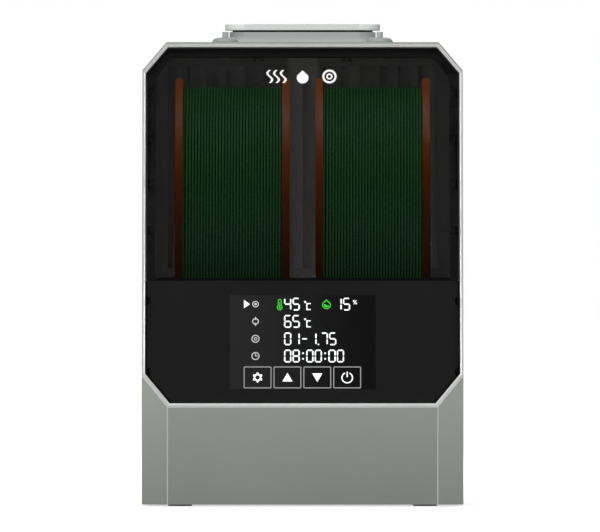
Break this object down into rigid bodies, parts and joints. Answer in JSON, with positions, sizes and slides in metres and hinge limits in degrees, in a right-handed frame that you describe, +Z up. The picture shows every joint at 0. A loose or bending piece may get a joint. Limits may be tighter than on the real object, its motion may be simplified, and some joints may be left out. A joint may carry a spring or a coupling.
{
  "type": "filament dryer box",
  "caption": "Two-spool filament dryer box: heated base with a fan, rollers and a touch display panel, hinged lid with a smoked window, filament outlets and a lift-up vent cap.",
  "frame": {"origin": "on the table, under the centre of the box's bounding box", "axes": "+X to the right seen from the front, +Y to the back (the front faces -Y), +Z up"},
  "size_m": [0.215, 0.277, 0.324],
  "materials": {
    "silver_housing": "fine-textured silver-grey paint on moulded plastic",
    "pale_trim": "satin pale silver, bevelled inner edge",
    "vent_neck_grey": "fine moulded texture",
    "vent_cap_grey": "fine moulded texture",
    "outlet_collar_grey": "fine moulded texture",
    "outlet_tube_ptfe": "translucent white tube",
    "smoked_window": "smoked polycarbonate, polished",
    "black_panel": "polished black",
    "display_glass": "polished black display lens",
    "lcd_panel": "display module behind the lens",
    "black_abs": "fine moulded texture",
    "tub_black": "heat-resistant moulded plastic",
    "duct_plastic": "heat-resistant moulded plastic",
    "rubber_black": "soft matt rubber",
    "roller_rubber": "soft matt rubber",
    "zinc_steel": "zinc plated",
    "ground_steel": "ground rod",
    "nickel_pins": "nickel plated",
    "heater_aluminium": "folded fin stock",
    "board_fibreglass": "solder mask on glass fibre",
    "sensor_white": "moulded sensor cover",
    "orange_flange": "moulded orange spool",
    "green_filament": "wound plastic filament"
  },
  "bodies": {
    "base": {"base_shell": "silver_housing", "bottom_cover": "black_abs", "feet": "rubber_black", "bottom_screws": "zinc_steel", "lower_trim": "pale_trim", "control_panel": "black_panel", "panel_clips": "black_abs", "display_lens": "display_glass", "lcd_module": "lcd_panel", "touch_springs": "zinc_steel", "control_board": "board_fibreglass", "board_screws": "zinc_steel", "chamber_tub": "tub_black", "lid_gasket": "rubber_black", "roller_bearings": "ground_steel", "intake_grille": "tub_black", "outlet_grille": "tub_black", "air_duct": "duct_plastic", "fan_frame": "black_abs", "fan_screws": "zinc_steel", "ptc_heater": "heater_aluminium", "power_board": "board_fibreglass", "power_inlet": "black_abs", "inlet_pins": "nickel_pins", "humidity_sensor": "sensor_white", "hinge_pins": "ground_steel"},
    "lid": {"lid_shell": "silver_housing", "lid_liner": "black_abs", "window_frame": "black_abs", "window": "smoked_window", "window_clips": "black_abs", "upper_trim": "pale_trim", "vent_neck": "vent_neck_grey", "outlet_collar_left": "outlet_collar_grey", "outlet_collar_right": "outlet_collar_grey", "outlet_tube_left": "outlet_tube_ptfe", "outlet_tube_right": "outlet_tube_ptfe", "vent_seal": "rubber_black"},
    "vent_cap_body": {"vent_cap": "vent_cap_grey", "vent_stems": "ground_steel"},
    "fan_rotor": {"fan_impeller": "black_abs"},
    "spool_left": {"spool_outer_flange_left": "orange_flange", "spool_inner_flange_left": "orange_flange", "spool_hub_left": "orange_flange", "filament_left": "green_filament"},
    "roller_left_front": {"roller_shaft_left_front": "ground_steel", "rollers_left_front": "roller_rubber"},
    "roller_left_rear": {"roller_shaft_left_rear": "ground_steel", "rollers_left_rear": "roller_rubber"},
    "spool_right": {"spool_outer_flange_right": "orange_flange", "spool_inner_flange_right": "orange_flange", "spool_hub_right": "orange_flange", "filament_right": "green_filament"},
    "roller_right_front": {"roller_shaft_right_front": "ground_steel", "rollers_right_front": "roller_rubber"},
    "roller_right_rear": {"roller_shaft_right_rear": "ground_steel", "rollers_right_rear": "roller_rubber"}
  },
  "joints": [
    {"name": "lid_hinge", "type": "hinge", "parent": "base", "child": "lid", "pos_m": [0, 0.1345, 0.151], "axis": [-1, 0, 0], "range_deg": [0, 85]},
    {"name": "vent_cap_lift", "type": "slide", "parent": "lid", "child": "vent_cap_body", "axis": [0, 0, 1], "range_m": [0, 0.007]},
    {"name": "fan_spin", "type": "hinge", "parent": "base", "child": "fan_rotor", "pos_m": [0, 0.022, 0.042], "axis": [0, 1, 0], "continuous": true},
    {"name": "spool_left_spin", "type": "hinge", "parent": "base", "child": "spool_left", "pos_m": [-0.0472, 0.013, 0.1877], "axis": [1, 0, 0], "continuous": true},
    {"name": "roller_left_front_spin", "type": "hinge", "parent": "base", "child": "roller_left_front", "pos_m": [-0.0472, -0.04545, 0.09416], "axis": [1, 0, 0], "continuous": true},
    {"name": "roller_left_rear_spin", "type": "hinge", "parent": "base", "child": "roller_left_rear", "pos_m": [-0.0472, 0.07145, 0.09416], "axis": [1, 0, 0], "continuous": true},
    {"name": "spool_right_spin", "type": "hinge", "parent": "base", "child": "spool_right", "pos_m": [0.0472, 0.013, 0.1877], "axis": [1, 0, 0], "continuous": true},
    {"name": "roller_right_front_spin", "type": "hinge", "parent": "base", "child": "roller_right_front", "pos_m": [0.0472, -0.04545, 0.09416], "axis": [1, 0, 0], "continuous": true},
    {"name": "roller_right_rear_spin", "type": "hinge", "parent": "base", "child": "roller_right_rear", "pos_m": [0.0472, 0.07145, 0.09416], "axis": [1, 0, 0], "continuous": true}
  ],
  "couplings": [
    {"joint": "roller_left_front_spin", "follows": "spool_left_spin", "ratio": -10},
    {"joint": "roller_left_rear_spin", "follows": "spool_left_spin", "ratio": -10},
    {"joint": "roller_right_front_spin", "follows": "spool_right_spin", "ratio": -10},
    {"joint": "roller_right_rear_spin", "follows": "spool_right_spin", "ratio": -10}
  ]
}
